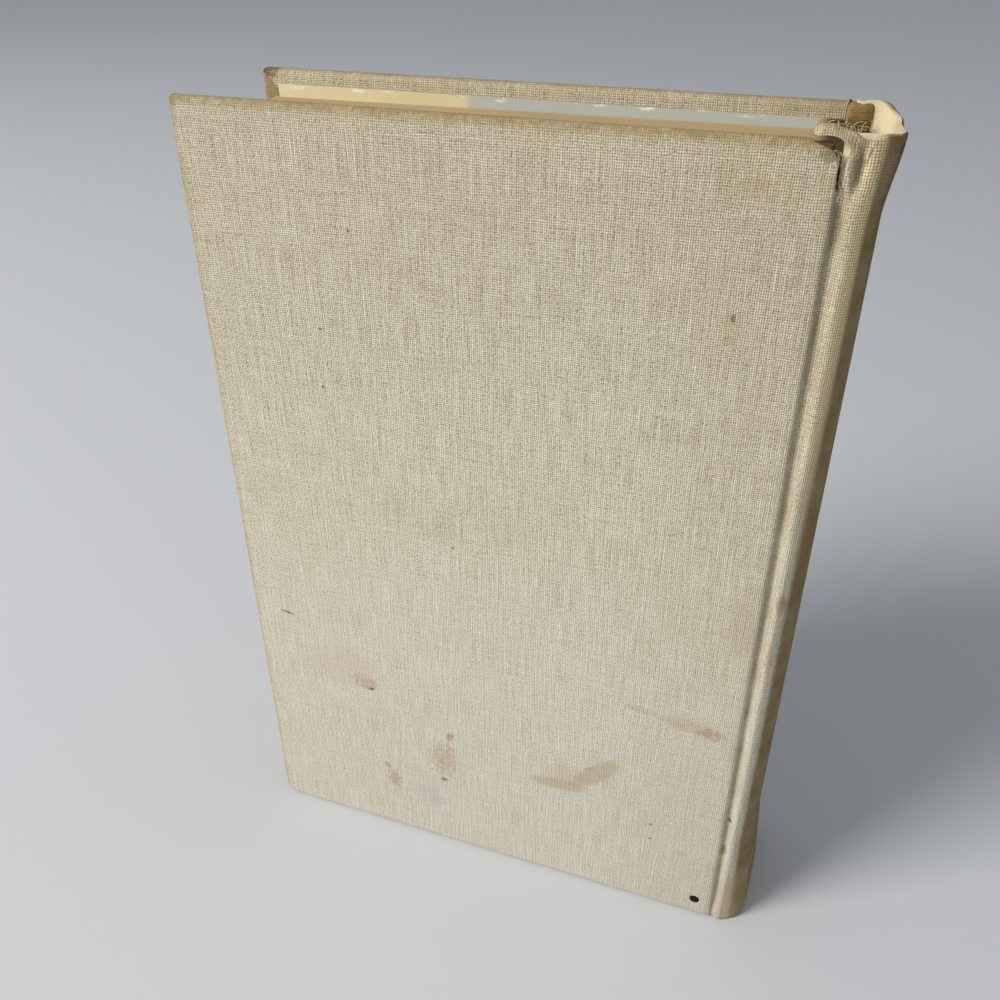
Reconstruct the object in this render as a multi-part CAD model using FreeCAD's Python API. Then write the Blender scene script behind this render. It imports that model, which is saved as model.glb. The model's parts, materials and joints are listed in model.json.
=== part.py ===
"""A hardback book in a linen-covered case, standing on its tail.

X runs from the fore edge to the spine, Y from the back cover to the front cover and Z from tail to
head. The origin is the bottom centre of the book's box. Sizes are in millimetres.
"""
import FreeCAD
import Part
import math
import os

# The case, over its cloth
case_height = 216.0
case_thickness = 41.3
cover_reach = 139.0       # fore edge to the middle of the joint groove
back_reach = 8.1          # groove to the back of the spine at mid height
tail_bulge = 1.9          # how much further the back stands out at the tail
head_bulge = 1.8          # and at the head
tail_swell = 34.0         # height over which the tail's bulge dies away
head_swell = 17.0         # and the head's

# Sheets and boards
cloth = 0.45
board = 2.6
paper = 0.2
mull = 0.25
inlay_card = 0.9
lining_paper = 0.25
glue_line = 0.05          # left between curved layers that are glued together
cover_clearance = 0.15    # between a shut cover and the first leaf
hollow = 0.2              # air between the spine's card and the lined back of the leaves

# Boards and their covering
turn_in = 15.0            # cloth folded over onto the inside of a board
board_setback = 2.1       # groove to the spine edge of a board
edge_round = 0.9          # worn edge of a board
head_corner_round = 1.3
tail_corner_round = 3.0
groove_depth = 1.55
groove_slit = 0.3         # crease where a cover's cloth parts from the spine's
dot_radius = 1.45         # small round blind stamp on the back cover
dot_depth = 0.12
dot_inset = 4.4           # its centre, in from the groove
dot_height = 6.5

# Endpapers
paste_margin = 3.3        # cloth left showing round a pasted-down endpaper, at head and tail
paste_fore_margin = 4.6   # and at the fore edge
mull_flange_width = 25.0
mull_tail_margin = 3.0    # from the turned-in cloth to the mull
mull_head_margin = 9.0
lining_inset = 5.1        # cover's face to the edge of the paper lining
lining_overhang = 9.0     # how far the lining runs past the mull

# Spine covering, in plan from the groove
ridge_reach = 3.1         # top of the shoulder
ridge_drop = 0.1          # its crest, below the faces of the covers
valley_width = 0.8        # flat bottom of the groove
corner_inset = 8.5        # cover's face to where the rounded corner meets the back
corner_fall = 0.6         # how far the back has fallen away there
quarter_share = 0.68      # a point on the corner's arc, as a share of its run
quarter_inset = 2.8       # and its depth below the cover's face
inlay_inset = 2.4         # cover's face to the edge of the card
inlay_drop = 0.3          # torn head of the spine's cloth to the torn head of the card
spine_turn_in = 12.0

# The block of leaves
shoulder_reach = 2.4      # groove to the tip of the backed shoulder
shoulder_drop = 1.25      # cover's face to that tip
flare_start = 2.2         # where the leaves start to swell, from the groove
fore_square = 3.6         # fore edge of the case to the fore edge of the leaves
fore_hollow = 2.4         # depth of the concave fore edge
head_square = 6.2         # head of the case to the head of the leaves, at the fore edge
fore_gap = 0.4            # height of the sagging leaves over the tail, at the fore edge
spine_gap = 1.3           # and at the spine

# Damage at the head of the back joint: the cloth has torn off the board and stands up
head_overrun = 1.0        # the loose spine cloth stands this far over the head of the boards
tear_depth = 11.0
tear_width = 2.0          # on the cover's side of the groove
tear_shoulder = 2.8       # head to where that side of the tear is at its widest
spine_tear_width = 1.1    # on the spine's side
spine_tear_shoulder = 3.7
flap_reach = 5.9          # groove to the tip of the lifted flap
flap_taper = 3.0          # run of the slanting tip
flap_root = 1.6           # groove to where the flap grows from the spine's cloth
flap_curl = 2.0           # radius of the curled cloth
flap_lift = 0.5           # head of the case to the middle of the curl
flap_turn = 115.0         # degrees of curl
# The torn head of the spine: across the book, and over the head of the boards
head_line = ((-21.0, 1.0), (-17.0, 0.7), (-12.0, 0.4), (-6.0, -1.2), (-3.5, -0.9), (0.0, -2.1),
             (5.0, -2.2), (8.0, -2.9), (12.0, -2.8), (17.5, -1.4), (19.0, 0.0), (21.0, 0.0))

x_fore = -(cover_reach + back_reach + max(tail_bulge, head_bulge)) / 2
x_groove = x_fore + cover_reach
y_face = case_thickness / 2
x_board_end = x_groove - board_setback
y_board_out = y_face - cloth
y_board_in = y_board_out - board
y_turn_in = y_board_in - cloth
y_leaf_out = y_turn_in - paper - cover_clearance
block_half = y_leaf_out - paper
y_groove = y_face - groove_depth
shoulder_half = y_face - shoulder_drop
corner_half = y_face - corner_inset
quarter_half = y_face - quarter_inset
inlay_half = y_face - inlay_inset
lining_half = y_face - lining_inset
mull_low = turn_in + mull_tail_margin
mull_high = case_height - turn_in - mull_head_margin
leaf_height = case_height - head_square - fore_gap
mull_out = glue_line + mull
lining_out = mull_out + glue_line + lining_paper
inlay_in = cloth + glue_line + inlay_card
leaf_back_reach = back_reach - inlay_in - hollow - lining_out
back_room = back_reach + max(tail_bulge, head_bulge)
reach_past = 5.0          # how far a cutting solid runs past what it cuts
swell_steps = 4           # sections that follow each bulge of the spine


def box(x, y, z):
    """A box from three (low, high) ranges."""
    return Part.makeBox(x[1] - x[0], y[1] - y[0], z[1] - z[0], FreeCAD.Vector(x[0], y[0], z[0]))


def at(x, y, z=0.0):
    return FreeCAD.Vector(x, y, z)


def arc(start, middle, end):
    return Part.Arc(start, middle, end).toShape()


def line(start, end):
    return Part.LineSegment(start, end).toShape()


def fillet_where(solid, radius, wanted):
    """Round the edges of a solid whose mid point passes a test."""
    edges = [e for e in solid.Edges if wanted(e.valueAt((e.FirstParameter + e.LastParameter) / 2), e)]
    return solid.makeFillet(radius, edges)


def slab(grow):
    """The back board grown by a thickness of cloth: worn corners, then rounded edges all round."""
    x = (x_fore + cloth - grow, x_board_end + grow)
    y = (-y_board_out - grow, -y_board_in + grow)
    z = (cloth - grow, case_height - cloth + grow)
    solid = box(x, y, z)
    middle = case_height / 2

    def fore_corner(head):
        def test(p, e):
            return abs(p.x - x[0]) < 0.01 and abs(p.y - sum(y) / 2) < 0.01 and (p.z > middle) == head
        return test

    solid = fillet_where(solid, head_corner_round + grow, fore_corner(True))
    solid = fillet_where(solid, tail_corner_round + grow, fore_corner(False))

    def on_a_face(p, e):
        return abs(p.y - y[0]) < 0.01 or abs(p.y - y[1]) < 0.01

    return fillet_where(solid, edge_round + grow, on_a_face)


def make_board():
    return slab(0.0)


def make_cover_cloth():
    """Cloth round the back board: outer face, edges, turn-ins and the flange into the groove."""
    outside = slab(cloth)
    shell = outside.cut(slab(0.0))
    window = box((x_fore + turn_in, x_board_end + reach_past), (-y_board_in, -y_turn_in + reach_past),
                 (turn_in, case_height - turn_in))
    shell = shell.cut(window)
    bare_edge = box((x_board_end, x_board_end + reach_past), (-y_groove + cloth, -y_turn_in + reach_past),
                    (-reach_past, case_height + reach_past))
    shell = shell.cut(bare_edge)
    flange = box((x_board_end, x_groove - groove_slit / 2), (-y_groove, -y_groove + cloth), (0, case_height))
    return shell.fuse(flange).removeSplitter()


def stamped(cover):
    """The back cover's cloth with its small round dent."""
    before = at(x_groove - dot_inset, -y_face - 1, dot_height)
    return cover.cut(Part.makeCylinder(dot_radius, 1 + dot_depth, before, at(0, 1)))


def prism(outline, along):
    """A flat outline pushed along a vector."""
    return Part.Face(Part.makePolygon(outline + outline[:1])).extrude(along)


def torn_cover(cover):
    """The back cover's cloth torn down the joint at the head."""
    top = case_height + reach_past
    before = -case_thickness
    outline = [at(x_groove, before, case_height - tear_depth),
               at(x_groove - tear_width, before, case_height - tear_shoulder),
               at(x_groove - tear_width, before, top), at(x_groove, before, top)]
    return cover.cut(prism(outline, at(0, case_thickness)))


def make_flap():
    """The cloth that was turned over the board's corner, lifted off it and curled."""
    start = at(x_groove - flap_reach, -y_face + flap_curl, case_height + flap_lift)
    length = flap_reach + flap_root
    tube = Part.makeCylinder(flap_curl, length, start, at(1, 0, 0))
    tube = tube.cut(Part.makeCylinder(flap_curl - cloth, length, start, at(1, 0, 0)))
    reach = 2 * flap_curl
    turn = math.radians(flap_turn)
    over = at(0, -reach * math.cos(turn), reach * math.sin(turn))
    fan = [start, start + at(0, -reach), start + at(0, -reach, reach), start + over]
    curl = tube.common(prism(fan, at(length, 0, 0)))
    tip = [start + at(0, -reach), start + at(0, -reach, reach), start + at(flap_taper, -reach, reach)]
    stem = box((x_groove + groove_slit / 2, x_groove + flap_root), (-y_groove, -y_groove + cloth),
               (case_height - head_overrun, case_height + flap_lift + flap_curl - cloth / 2))
    return curl.cut(prism(tip, at(0, 2 * reach))).fuse(stem)


def make_mull_flange():
    """Open-weave cloth glued to the inside of the board, under the endpaper."""
    return box((x_board_end - mull_flange_width, x_board_end), (-y_board_in, -y_board_in + mull),
               (mull_low, mull_high))


def make_pastedown():
    """The pasted endpaper: it steps over the turn-ins and over the flange of the mull."""
    x = (x_fore + paste_fore_margin, x_board_end)
    z = (paste_margin, case_height - paste_margin)
    floor = -y_board_in
    sheet = box(x, (floor, floor + paper), z)
    inside = (x_fore + turn_in, turn_in, case_height - turn_in)
    flange = (x_board_end - mull_flange_width, mull_low, mull_high)
    frame = box(x, (floor, floor + cloth + paper), z)
    frame = frame.cut(box((inside[0] + paper, x[1] + 1), (floor - 1, floor + 1 + cloth),
                          (inside[1] + paper, inside[2] - paper)))
    sheet = sheet.fuse(frame)
    sheet = sheet.fuse(box((flange[0] - paper, x[1]), (floor, floor + mull + paper),
                           (flange[1] - paper, flange[2] + paper)))
    under_frame = box((x[0] - 1, x[1] + 1), (floor - 1, floor + cloth), (0, case_height))
    under_frame = under_frame.cut(box((inside[0], x[1] + 2), (floor - 2, floor + 2), inside[1:]))
    sheet = sheet.cut(under_frame)
    return sheet.cut(box((flange[0], x[1] + 1), (floor - 1, floor + mull), flange[1:])).removeSplitter()


def spine_path(inset, bulge, height):
    """One line of the spine's covering in plan, from the back groove round to the front groove."""
    back = x_groove + back_reach + bulge - inset
    diagonal = inset * math.sqrt(0.5)
    ridge_x = x_groove + ridge_reach
    corner_x = back - corner_fall
    quarter_x = ridge_x + quarter_share * (corner_x + inset - ridge_x) - diagonal
    near = [(x_groove + groove_slit / 2, y_groove - inset), (x_groove + valley_width, y_groove - inset),
            (x_groove + (valley_width + ridge_reach) / 2, y_face - groove_depth / 4 - inset),
            (ridge_x, y_face - ridge_drop - inset), (quarter_x, quarter_half - diagonal),
            (corner_x, corner_half)]
    back_side = [at(px, -py, height) for px, py in near]
    front_side = [at(px, py, height) for px, py in reversed(near)]
    middle = at(back, 0, height)
    return [line(back_side[0], back_side[1]), arc(*back_side[1:4]), arc(*back_side[3:6]),
            arc(back_side[5], middle, front_side[0]), arc(*front_side[0:3]), arc(*front_side[2:5]),
            line(front_side[4], front_side[5])]


def spine_section(outer, inner, bulge, height):
    """A closed plan section of one layer of the spine, between two insets from its outer face."""
    out = spine_path(outer, bulge, height)
    back = spine_path(inner, bulge, height)
    ends = [line(out[0].Vertexes[0].Point, back[0].Vertexes[0].Point),
            line(out[-1].Vertexes[-1].Point, back[-1].Vertexes[-1].Point)]
    return Part.Wire(Part.__sortEdges__(out + back + ends))


def bulge_at(height):
    """How far the back stands out beyond its mid-height line."""
    def ease(t):
        t = min(1.0, max(0.0, t))
        return t * t * (3 - 2 * t)
    below_head = case_height - height
    return tail_bulge * ease(1 - height / tail_swell) + head_bulge * ease(1 - below_head / head_swell)


def spine_layer(outer, inner, low, high):
    """One layer of the spine's covering between two heights, swelling towards head and tail."""
    shares = [step / swell_steps for step in range(swell_steps + 1)]
    heights = [tail_swell * share for share in shares]
    heights += [case_height - head_swell * share for share in reversed(shares)]
    heights.append(case_height + head_overrun)
    loft = Part.makeLoft([spine_section(outer, inner, bulge_at(h), h) for h in heights], True, True)
    return loft.common(box((x_groove, x_groove + back_room), (-case_thickness, case_thickness), (low, high)))


def torn_head(solid, drop):
    """A layer of the spine cut off along the torn head, or that much lower."""
    top = case_height + reach_past
    outline = [at(x_groove, y, case_height + rise - drop) for y, rise in head_line]
    outline += [at(x_groove, head_line[-1][0], top), at(x_groove, head_line[0][0], top)]
    return solid.cut(prism(outline, at(back_room + reach_past, 0)))


def make_spine_cloth():
    """The cloth over the spine, turned in at the tail and torn at the head."""
    turned = inlay_in + glue_line
    skin = spine_layer(0.0, cloth, 0.0, case_height + head_overrun)
    hem = spine_layer(0.0, turned + cloth, 0.0, cloth)
    inner = spine_layer(turned, turned + cloth, 0.0, spine_turn_in)
    between = box((x_groove + ridge_reach, x_groove + back_room), (-inlay_half, inlay_half),
                  (-reach_past, spine_turn_in + reach_past))
    skin = skin.fuse(hem.common(between)).fuse(inner.common(between))
    top = case_height + reach_past
    before = -case_thickness
    tear = [at(x_groove, before, case_height - tear_depth),
            at(x_groove + groove_slit, before, case_height - tear_depth),
            at(x_groove + spine_tear_width, before, case_height - spine_tear_shoulder),
            at(x_groove + spine_tear_width / 2, before, top), at(x_groove, before, top)]
    skin = skin.cut(prism(tear, at(0, case_thickness)))
    return torn_head(skin, 0.0).fuse(make_flap()).removeSplitter()


def make_spine_inlay():
    """The strip of card that stiffens the spine between the joints."""
    outer = cloth + glue_line
    top = case_height + head_overrun
    strip = spine_layer(outer, outer + inlay_card, outer, top)
    strip = strip.common(box((x_groove + ridge_reach, x_groove + back_room), (-inlay_half, inlay_half),
                             (0, top)))
    return torn_head(strip, inlay_drop)


def flare_points(outset):
    """Back half of the plan line of the leaves: where they start to swell, half way, shoulder."""
    start = at(x_groove - flare_start, -block_half - outset)
    run = flare_start + shoulder_reach
    rise = shoulder_half - block_half
    radius = (run * run + rise * rise) / (2 * rise)
    half_rise = radius - math.sqrt(radius * radius - run * run / 4)
    middle = at(start.x + run / 2, start.y - half_rise)
    return start, middle, at(start.x + run, start.y - rise)


def make_text_block():
    """The sewn leaves: rounded and backed spine, hollow fore edge, head and tail sagging forward."""
    fore_x = x_fore + fore_square
    start, middle, tip = flare_points(0.0)
    mirror = [at(p.x, -p.y) for p in (tip, middle, start)]
    edges = [line(at(fore_x, -block_half), start), arc(start, middle, tip),
             arc(tip, at(x_groove + leaf_back_reach, 0), mirror[0]), arc(*mirror),
             line(mirror[2], at(fore_x, block_half)),
             arc(at(fore_x, block_half), at(fore_x + fore_hollow, 0), at(fore_x, -block_half))]
    solid = Part.Face(Part.Wire(edges)).extrude(at(0, 0, case_height))
    return solid.common(leaf_slab())


def leaf_slab():
    """The leaves' height as a slab whose head and tail slope down to the fore edge."""
    low_x = x_fore
    high_x = x_groove + back_reach
    depth = case_thickness
    corners = [at(low_x, -depth, fore_gap), at(high_x, -depth, spine_gap),
               at(high_x, -depth, spine_gap + leaf_height), at(low_x, -depth, fore_gap + leaf_height)]
    return Part.Face(Part.makePolygon(corners + corners[:1])).extrude(at(0, 2 * depth))


def make_flyleaf():
    """The free half of the back endpaper, lying on the leaves and up their shoulder."""
    inner = flare_points(0.0)
    outer = flare_points(paper)
    fore_x = x_fore + fore_square
    edges = [line(at(fore_x, -block_half), inner[0]), arc(*inner), line(inner[2], outer[2]),
             arc(*reversed(outer)), line(outer[0], at(fore_x, -y_leaf_out)),
             line(at(fore_x, -y_leaf_out), at(fore_x, -block_half))]
    solid = Part.Face(Part.Wire(edges)).extrude(at(0, 0, case_height))
    inside_shoulder = box((x_fore, x_groove + shoulder_reach / 2), (-case_thickness, 0), (0, case_height))
    return solid.common(leaf_slab()).common(inside_shoulder)


def back_layer(inner, outer, half_width, low, high):
    """A sheet glued over the rounded back of the leaves."""
    def bow(offset):
        side = x_groove + shoulder_reach + offset
        crown = at(x_groove + leaf_back_reach + offset, 0, low)
        return at(side, -shoulder_half, low), crown, at(side, shoulder_half, low)

    near = bow(inner)
    far = bow(outer)
    edges = [arc(*near), line(near[2], far[2]), arc(*reversed(far)), line(far[0], near[0])]
    sheet = Part.Face(Part.Wire(edges)).extrude(at(0, 0, high - low))
    return sheet.common(box((x_groove, x_groove + back_reach), (-half_width, half_width), (low, high)))


def make_mull():
    return back_layer(glue_line, mull_out, shoulder_half, mull_low, mull_high)


def make_spine_lining():
    inner = mull_out + glue_line
    return back_layer(inner, lining_out, lining_half, mull_low - lining_overhang, mull_high + lining_overhang)


def front(shape):
    """The same piece on the front cover's side."""
    return shape.mirror(at(0, 0), at(0, 1))


cover_cloth = make_cover_cloth()
pieces = {
    "text_block": make_text_block(),
    "mull": make_mull(),
    "spine_lining": make_spine_lining(),
    "spine_inlay": make_spine_inlay(),
    "spine_cloth": make_spine_cloth(),
    "back_cloth": torn_cover(stamped(cover_cloth)),
    "front_cloth": front(cover_cloth),
}
for name, make in (("flyleaf", make_flyleaf), ("board", make_board), ("pastedown", make_pastedown),
                   ("mull_flange", make_mull_flange)):
    pieces["back_" + name] = make()
    pieces["front_" + name] = front(make())

os.makedirs("parts", exist_ok=True)
for name, shape in pieces.items():
    solids = shape.Solids
    whole = solids[0] if len(solids) == 1 else Part.makeCompound(solids)
    whole.exportStep(f"parts/{name}.step")
    size = whole.BoundBox
    print(f"{name}: {len(solids)} solid, valid {whole.isValid()}, {whole.Volume / 1000:.2f} cm3, "
          f"x {size.XMin:.2f}..{size.XMax:.2f} y {size.YMin:.2f}..{size.YMax:.2f} "
          f"z {size.ZMin:.2f}..{size.ZMax:.2f}")
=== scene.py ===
# %% [markdown]
# This lesson dresses one old hardback book. Its case is covered in plain linen that has yellowed,
# its leaves have gone tan, and the head of its spine has torn open. The book stands on its tail and
# both covers can swing open. Everything is in metres, in the same place as the solid model, so a
# piece is made where the real one lies and never moved afterwards.

# %% Load the solid model
import bpy
import bmesh
import json
import math
import numpy as np
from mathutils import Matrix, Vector


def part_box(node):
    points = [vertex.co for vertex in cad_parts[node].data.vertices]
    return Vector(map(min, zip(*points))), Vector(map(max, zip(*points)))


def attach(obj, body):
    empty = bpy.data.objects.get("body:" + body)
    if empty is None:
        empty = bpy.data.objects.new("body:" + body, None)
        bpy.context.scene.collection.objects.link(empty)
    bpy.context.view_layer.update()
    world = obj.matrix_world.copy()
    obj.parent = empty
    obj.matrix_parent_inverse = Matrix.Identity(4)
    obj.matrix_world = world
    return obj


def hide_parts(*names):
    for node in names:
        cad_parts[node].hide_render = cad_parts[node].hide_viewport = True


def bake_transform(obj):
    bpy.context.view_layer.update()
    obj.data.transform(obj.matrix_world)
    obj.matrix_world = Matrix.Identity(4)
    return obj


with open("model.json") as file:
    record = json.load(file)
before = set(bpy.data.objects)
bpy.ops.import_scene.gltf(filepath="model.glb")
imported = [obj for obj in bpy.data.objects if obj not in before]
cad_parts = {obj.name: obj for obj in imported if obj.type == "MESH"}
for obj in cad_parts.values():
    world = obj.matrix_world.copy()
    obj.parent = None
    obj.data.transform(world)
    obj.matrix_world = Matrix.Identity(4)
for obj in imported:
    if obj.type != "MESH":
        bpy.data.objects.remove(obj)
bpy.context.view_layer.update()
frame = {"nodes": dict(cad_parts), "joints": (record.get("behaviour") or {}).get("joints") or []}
mm = 0.001

# %% [markdown]
# The sizes of the case come from the solids, so that cloth made here lies exactly where the solid
# cloth does. Only what can't be read off a box is named again: the way the spine's cloth dips into
# the groove and rounds the back, in plan from the middle of the groove.

# %% Sizes of the case
case_low, case_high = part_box("back_cloth")
leaves_low, leaves_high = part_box("text_block")
board_low, board_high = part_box("back_board")
paste_low, paste_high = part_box("back_pastedown")
hinge = Vector(next(j for j in frame["joints"] if j["name"] == "back_joint")["pos_m"])
x_fore = case_low.x
x_groove = hinge.x
x_board_end = board_high.x
y_face = -hinge.y
case_height = case_high.z
cloth = board_low.y + y_face
turned_depth = case_high.y + y_face
turn_in = 15 * mm
spine_turn_in = 12 * mm
edge_round = 1.35 * mm
head_corner_round = 1.0 * mm
tail_corner_round = 3.45 * mm
print("case", [round(v / mm, 2) for v in (x_fore, x_groove, x_board_end, y_face, case_height)])

# %% Sizes of the spine, from the middle of the groove
groove_depth = 1.55 * mm
valley_width = 1.2 * mm
ridge_reach = 3.1 * mm
ridge_drop = 0.1 * mm
back_reach = 8.1 * mm
corner_inset = 8.5 * mm
corner_fall = 0.6 * mm
quarter_share = 0.68
quarter_inset = 2.8 * mm
tail_bulge, tail_swell = 1.9 * mm, 34 * mm
head_bulge, head_swell = 1.8 * mm, 17 * mm
head_overrun = 1.0 * mm
spine_wall = 1.9 * mm
print("spine reaches", round(back_reach / mm, 1), "mm past the groove")

# %% [markdown]
# The camera stands a little above the book and close to it, as someone does who photographs a book
# on a table. Its place was worked out from the corners of the case, so it is set as numbers: where
# it stands, which way it turns and how far down it looks.

# %% Camera
camera = bpy.data.objects.new("camera", bpy.data.cameras.new("camera"))
bpy.context.scene.collection.objects.link(camera)
bpy.context.scene.camera = camera
camera_place = Vector((67.43, -202.75, 253.3)) * mm
camera_yaw, camera_pitch, camera_roll = (math.radians(a) for a in (20.07, 32.43, -0.23))
look = Vector((-math.sin(camera_yaw) * math.cos(camera_pitch),
               math.cos(camera_yaw) * math.cos(camera_pitch), -math.sin(camera_pitch)))
level = Vector((math.cos(camera_yaw), math.sin(camera_yaw), 0))
upright = level.cross(look)
across = level * math.cos(camera_roll) + upright * math.sin(camera_roll)
upward = upright * math.cos(camera_roll) - level * math.sin(camera_roll)
turned = camera.matrix_world.copy()
for row in range(3):
    turned[row][0], turned[row][1], turned[row][2] = across[row], upward[row], -look[row]
    turned[row][3] = camera_place[row]
camera.matrix_world = turned
camera.data.lens = 34.83
camera.data.sensor_width = 36.0
camera.data.clip_start = 0.01
print("camera at", [round(v, 3) for v in camera_place])

# %% [markdown]
# Every finish here is a small sum on the sheet's own coordinates. Wiring such sums node by node is
# long and hard to read, so one small class wraps a socket: plus, minus, times and the rest add Math
# nodes by themselves, and one method adds any other node. Colours never go through Math nodes, which
# would turn them grey.

# %% A socket that can be used in sums


class Value:
    """One output of a shader or geometry tree, usable in plain Python sums."""

    def __init__(self, tree, socket):
        self.tree, self.socket = tree, socket

    def node(self, kind, inputs=(), output=0, **settings):
        """Add any node: settings first, then its sockets by number or name."""
        made = self.tree.nodes.new(kind)
        for name, value in settings.items():
            setattr(made, name, value)
        pairs = inputs.items() if isinstance(inputs, dict) else enumerate(inputs)
        for key, value in pairs:
            if isinstance(value, Value):
                self.tree.links.new(value.socket, made.inputs[key])
            elif value is not None:
                made.inputs[key].default_value = value
        return Value(self.tree, made.outputs[output])

    def also(self, output):
        """Another output of the same node."""
        return Value(self.tree, self.socket.node.outputs[output])

    def maths(self, operation, *others):
        return self.node("ShaderNodeMath", (self,) + others, operation=operation)

    def __add__(self, other):
        return self.maths("ADD", other)

    def __radd__(self, other):
        return self.maths("ADD", other)

    def __sub__(self, other):
        return self.maths("SUBTRACT", other)

    def __rsub__(self, other):
        return self.node("ShaderNodeMath", (other, self), operation="SUBTRACT")

    def __mul__(self, other):
        return self.maths("MULTIPLY", other)

    def __rmul__(self, other):
        return self.maths("MULTIPLY", other)

    def __truediv__(self, other):
        return self.maths("DIVIDE", other)

    def __neg__(self):
        return self.maths("MULTIPLY", -1.0)

    def clamp(self):
        return self.node("ShaderNodeClamp", (self,))

    def most(self, other):
        return self.maths("MAXIMUM", other)

    def size(self):
        return self.maths("ABSOLUTE")

    def ramp(self, low, high, out_low=0.0, out_high=1.0):
        """Ease from out_low to out_high as the value goes from low to high."""
        return self.node("ShaderNodeMapRange", (self, low, high, out_low, out_high),
                         interpolation_type="SMOOTHSTEP")

    def tint(self, low_colour, high_colour):
        """A colour between two others, by this share."""
        return self.node("ShaderNodeMix", {0: self, 6: low_colour, 7: high_colour}, 2, data_type="RGBA")

    def parts(self):
        """The three numbers of a vector."""
        first = self.node("ShaderNodeSeparateXYZ", (self,))
        return [first, first.also(1), first.also(2)]


print("a socket in a sum is a", Value.__name__)

# %% Small helpers for finishes


def vector(x, y, z):
    """A vector from three values or numbers, at least one of them a value."""
    known = next(v for v in (x, y, z) if isinstance(v, Value))
    return known.node("ShaderNodeCombineXYZ", (x, y, z))


def noise(where, scale=1.0, detail=2.0):
    return where.node("ShaderNodeTexNoise", {"Vector": where, "Scale": scale, "Detail": detail})


def colour(red, green, blue):
    """A colour given as it looks on a screen, 0 to 255, turned into linear light."""
    def linear(amount):
        amount = amount / 255
        return amount / 12.92 if amount < 0.04045 else ((amount + 0.055) / 1.055) ** 2.4
    return (linear(red), linear(green), linear(blue), 1.0)


def new_finish(name, specular=0.3):
    """A material, its Principled shader and a starting point for sums."""
    material = bpy.data.materials.new(name)
    material.use_nodes = True
    shader = material.node_tree.nodes["Principled BSDF"]
    shader.inputs["Specular IOR Level"].default_value = specular
    return material, shader, Value(material.node_tree, None)


def finish_with(shader, tone, roughness, height, distance):
    """Feeds a shader's colour, its roughness and a bump: a height of 0 to 1 times a distance in metres."""
    links = tone.tree.links
    links.new(tone.socket, shader.inputs["Base Color"])
    links.new(roughness.clamp().socket, shader.inputs["Roughness"])
    bump = height.node("ShaderNodeBump", {"Height": height, "Distance": distance})
    links.new(bump.socket, shader.inputs["Normal"])


print("a mid grey of 128 is", round(colour(128, 128, 128)[0], 3), "in linear light")

# %% [markdown]
# Plain linen is one thread over, one thread under. The threads are far too many to model one by one,
# so the weave is a sum, on coordinates laid out as the flat cloth was before it was glued down: the
# threads then turn over every edge as real ones do. Across each thread the height is round, along it
# the height rises and falls, and the higher of the two threads wins. Real linen is uneven: threads
# differ in thickness, and thick short runs, slubs, stand out along the height of the book.

# %% Linen threads
warp_pitch = 0.46 * mm
weft_pitch = 0.52 * mm


def stretched(u, v, per_u, per_v, layer, detail=1.0):
    """Noise drawn out over the flat cloth: its changes in each metre across and along the book."""
    return noise(vector(u * per_u, v * per_v, layer), 1.0, detail)


def linen_threads(u, v):
    """Height of the threads, 0 to 1; unevenness of grains, along and across; and slubs."""
    wander = noise(vector(u, v, 0.0), 260.0, 1.0) - 0.5
    wave_a = ((u / warp_pitch + wander * 1.0) * math.pi).maths("SINE")
    wave_b = ((v / weft_pitch + wander * 0.8) * math.pi).maths("SINE")
    warp = wave_a.size() * (wave_b * wave_a.maths("SIGN") * 0.35 + 0.65)
    weft = wave_b.size() * (0.6 - wave_a * wave_b.maths("SIGN") * 0.4)
    grain = stretched(u, v, 2500.0, 2200.0, 2.0) - 0.5
    bundle = stretched(u, v, 2100.0, 80.0, 0.0) - 0.5
    bar = stretched(u, v, 90.0, 1800.0, 3.0) - 0.5
    slub = stretched(u, v, 1700.0, 60.0, 7.0, 0.0).ramp(0.66, 0.84)
    knot = stretched(u, v, 150.0, 1700.0, 9.0, 0.0).ramp(0.7, 0.85)
    return warp.most(weft), grain, bundle, bar, slub.most(knot * 0.5)


print("weave of", round(10 * mm / warp_pitch), "by", round(10 * mm / weft_pitch), "threads in a centimetre")

# %% [markdown]
# The cloth's colour is a pale grey beige that has browned where hands and air reached it: along the
# head, down the fore edge, at the joints and most of all round the torn head of the spine. The brown
# of the spine's side is deepened by painted shade, and its ridge near the head is made pale by wear
# and a painted highlight. A painted picture of the cloth would blur close by, so every soil is a ramp
# on the flat cloth's coordinates, made ragged by noise.

# %% Linen colours
linen_pale = colour(229, 224, 209)
linen_warm = colour(228, 221, 199)
thread_shade = colour(154, 140, 110)
# Dark of the grain's specks, and painted shade in the low hollows between threads.
thread_gap_and_shade = colour(118, 102, 70)
linen_brown = colour(158, 137, 96)
linen_dark = colour(84, 62, 36)
burnt_brown = colour(132, 98, 52)
# Brown of the spine's side: sunned cloth, deepened as painted shade.
spine_brown_and_shade = colour(142, 116, 76)
# Cream of the ridge near the head: worn cloth and a painted highlight.
rub_and_highlight_cream = colour(230, 210, 166)
rust = colour(150, 100, 56)
speck_brown = colour(92, 62, 34)
red_stain = colour(150, 72, 56)
pink_stain = colour(206, 180, 162)
violet_stain = colour(198, 188, 190)
wet_stain = colour(182, 158, 120)
near_black = colour(30, 24, 20)
speck_cell = 13 * mm
speck_reach = 0.55 * mm
print("palest linen", [round(part, 3) for part in linen_pale[:3]])

# %% Soil on the linen


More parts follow.
